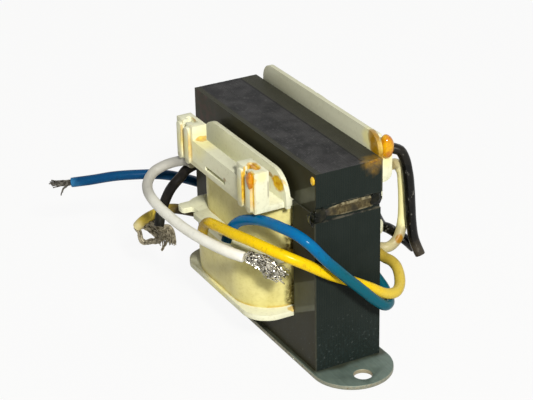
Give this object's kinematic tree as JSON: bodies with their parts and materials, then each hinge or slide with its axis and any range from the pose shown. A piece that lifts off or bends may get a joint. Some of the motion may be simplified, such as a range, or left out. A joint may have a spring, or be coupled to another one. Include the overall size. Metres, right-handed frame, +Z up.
{
  "type": "chassis-mount mains transformer",
  "caption": "Welded lamination core on a flat foot plate, with a split bobbin, taped windings, lead posts and cut hook-up leads; steps mains voltage down for a chassis.",
  "frame": {"origin": "middle of the foot plate's underside", "axes": "+X along the width of the core and the foot plate, +Y from the coil face with the white lead to the back, +Z up from the foot plate"},
  "size_m": [0.0993, 0.0746, 0.0609],
  "materials": {
    "plate_steel": "dull zinc-grey steel with worn edges",
    "core_varnish": "black impregnating varnish over steel laminations",
    "weld_metal": "rough brown-grey weld bead",
    "bobbin_plastic": "cream moulded nylon with amber stains",
    "copper_wire": "enamelled copper wire, close wound",
    "inner_tape": "polyester tape",
    "outer_tape": "pale yellow polyester tape, slightly glossy",
    "white_insulation": "white vinyl wire insulation",
    "black_insulation": "black vinyl wire insulation",
    "cream_insulation": "aged white vinyl wire insulation",
    "blue_insulation": "blue vinyl wire insulation",
    "yellow_insulation": "yellow vinyl wire insulation",
    "tinned_copper": "loose tinned copper strands",
    "amber_varnish": "set amber varnish, clear and glossy"
  },
  "bodies": {
    "root": {"base_plate": "plate_steel", "e_core": "core_varnish", "i_core": "core_varnish", "weld_left": "weld_metal", "weld_right": "weld_metal", "bobbin": "bobbin_plastic", "primary_inner": "copper_wire", "primary_insulation": "inner_tape", "primary_outer": "copper_wire", "upper_wrap": "outer_tape", "secondary_inner": "copper_wire", "secondary_insulation": "inner_tape", "secondary_outer": "copper_wire", "lower_wrap": "outer_tape", "white_lead": "white_insulation", "black_lead_1": "black_insulation", "black_lead_2": "black_insulation", "black_lead_3": "black_insulation", "cream_lead": "cream_insulation", "blue_lead_1": "blue_insulation", "blue_lead_2": "blue_insulation", "yellow_lead_1": "yellow_insulation", "yellow_lead_2": "yellow_insulation", "white_strands": "tinned_copper", "black_strands": "tinned_copper", "blue_strands": "tinned_copper", "yellow_strands": "tinned_copper", "back_post_varnish": "amber_varnish", "front_post_varnish": "amber_varnish"}
  },
  "joints": []
}
